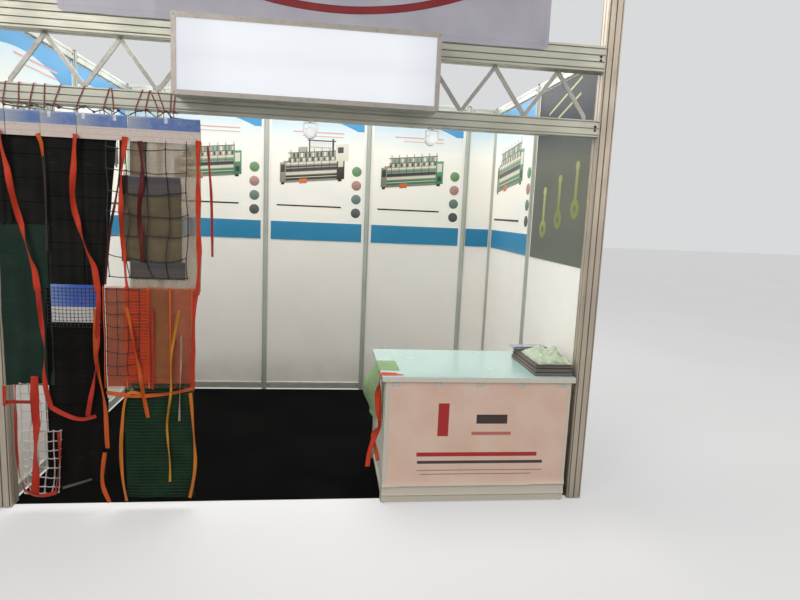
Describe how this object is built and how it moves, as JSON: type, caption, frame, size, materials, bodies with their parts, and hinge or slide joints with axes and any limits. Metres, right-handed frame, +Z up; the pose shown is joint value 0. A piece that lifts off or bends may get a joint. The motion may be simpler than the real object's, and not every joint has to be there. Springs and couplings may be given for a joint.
{
  "type": "exhibition booth",
  "caption": "Exhibition booth with panel walls, a lattice girder with a light-box sign, poster walls, a lockable counter, spotlights and hung net samples.",
  "frame": {"origin": "bottom centre of the bounding box, on the floor", "axes": "+X to the visitor's right along the front, +Y from the entrance to the back wall, +Z up"},
  "size_m": [3.08, 2.247, 3.05],
  "materials": {
    "profile": "satin",
    "cap": "matt",
    "rod": "satin",
    "header": "printed cloth",
    "arc": "sewn stripe",
    "sign_metal": "satin",
    "sign_face": "lit opal sheet",
    "tube": "opal",
    "bracket": "zinc plated",
    "wall_profile": "satin",
    "panel": "laminate",
    "poster": "satin print",
    "print_blue": "print",
    "print_machine": "print",
    "print_disc": "print",
    "poster_dark": "print",
    "print_fitting": "print",
    "carpet": "needle felt",
    "counter_profile": "satin",
    "foot": "matt",
    "counter_top": "laminate",
    "counter_panel": "laminate",
    "door": "laminate",
    "lock": "polished",
    "banner": "coated cloth",
    "spot": "powder coat",
    "lamp": "frosted",
    "card": "print",
    "red_cord": "twisted cord",
    "black_cord": "cord",
    "clip": "clear",
    "cloth_black": "warp-knitted shade cloth",
    "cloth_grey": "translucent shade cloth",
    "net_black": "knotted net",
    "cloth_green": "shade cloth",
    "mesh_orange": "fine net",
    "mesh_green": "fine net",
    "net_white": "knotted net",
    "ribbon": "woven tape",
    "counter_cloth": "shade cloth",
    "catalogue": "print"
  },
  "bodies": {
    "booth": {"post_left": "profile", "post_right": "profile", "upper_chord": "profile", "lower_chord": "profile", "header_rail": "profile", "post_caps": "cap", "lattice_rods": "rod", "header_banner": "header", "header_arc": "arc", "sign_case": "sign_metal", "sign_frame": "sign_metal", "sign_face": "sign_face", "sign_tubes": "tube", "sign_brackets": "bracket", "wall_posts": "wall_profile", "back_rails": "wall_profile", "side_rails": "wall_profile", "back_panels": "panel", "side_panels": "panel", "poster_boards": "poster", "print_blue": "print_blue", "print_machines": "print_machine", "print_discs": "print_disc", "poster_dark": "poster_dark", "print_fittings": "print_fitting", "carpet": "carpet", "counter_posts": "counter_profile", "counter_rails": "counter_profile", "counter_tracks": "counter_profile", "counter_feet": "foot", "counter_top": "counter_top", "counter_panels": "counter_panel", "counter_shelves": "counter_panel", "counter_banner": "banner", "spot_bases": "spot", "sample_cards": "card", "card_cords": "red_cord", "lacing_cord": "black_cord", "card_hooks": "clip", "cloth_black": "cloth_black", "cloth_low": "cloth_black", "cloth_grey": "cloth_grey", "net_black": "net_black", "cloth_green": "cloth_green", "mesh_orange": "mesh_orange", "mesh_green": "mesh_green", "net_white": "net_white", "ribbons": "ribbon", "counter_ribbons": "ribbon", "counter_cloth": "counter_cloth", "catalogues": "catalogue"},
    "door_left": {"counter_door_left": "door"},
    "door_right": {"counter_door_right": "door"},
    "lock": {"counter_lock": "lock"},
    "spot_yoke_middle": {"spot_yoke_middle": "spot"},
    "spot_head_middle": {"spot_head_middle": "spot", "spot_lamp_middle": "lamp"},
    "spot_yoke_right": {"spot_yoke_right": "spot"},
    "spot_head_right": {"spot_head_right": "spot", "spot_lamp_right": "lamp"}
  },
  "joints": [
    {"name": "door_left_slide", "type": "slide", "parent": "booth", "child": "door_left", "axis": [1, 0, 0], "range_m": [0, 0.462]},
    {"name": "door_right_slide", "type": "slide", "parent": "booth", "child": "door_right", "axis": [-1, 0, 0], "range_m": [0, 0.462]},
    {"name": "lock_turn", "type": "hinge", "parent": "door_left", "child": "lock", "pos_m": [0.867, -0.40125, 0.3745], "axis": [0, 1, 0], "range_deg": [0, 90]},
    {"name": "spot_swivel_middle", "type": "hinge", "parent": "booth", "child": "spot_yoke_middle", "pos_m": [-0.015, -0.9365, 1.928], "axis": [0, 0, 1], "range_deg": [-170, 170]},
    {"name": "spot_tilt_middle", "type": "hinge", "parent": "spot_yoke_middle", "child": "spot_head_middle", "pos_m": [-0.015, -0.9365, 1.928], "axis": [1, 0, 0], "range_deg": [-75, 30]},
    {"name": "spot_swivel_right", "type": "hinge", "parent": "booth", "child": "spot_yoke_right", "pos_m": [0.595, -0.9365, 1.928], "axis": [0, 0, 1], "range_deg": [-170, 170]},
    {"name": "spot_tilt_right", "type": "hinge", "parent": "spot_yoke_right", "child": "spot_head_right", "pos_m": [0.595, -0.9365, 1.928], "axis": [1, 0, 0], "range_deg": [-75, 30]}
  ]
}
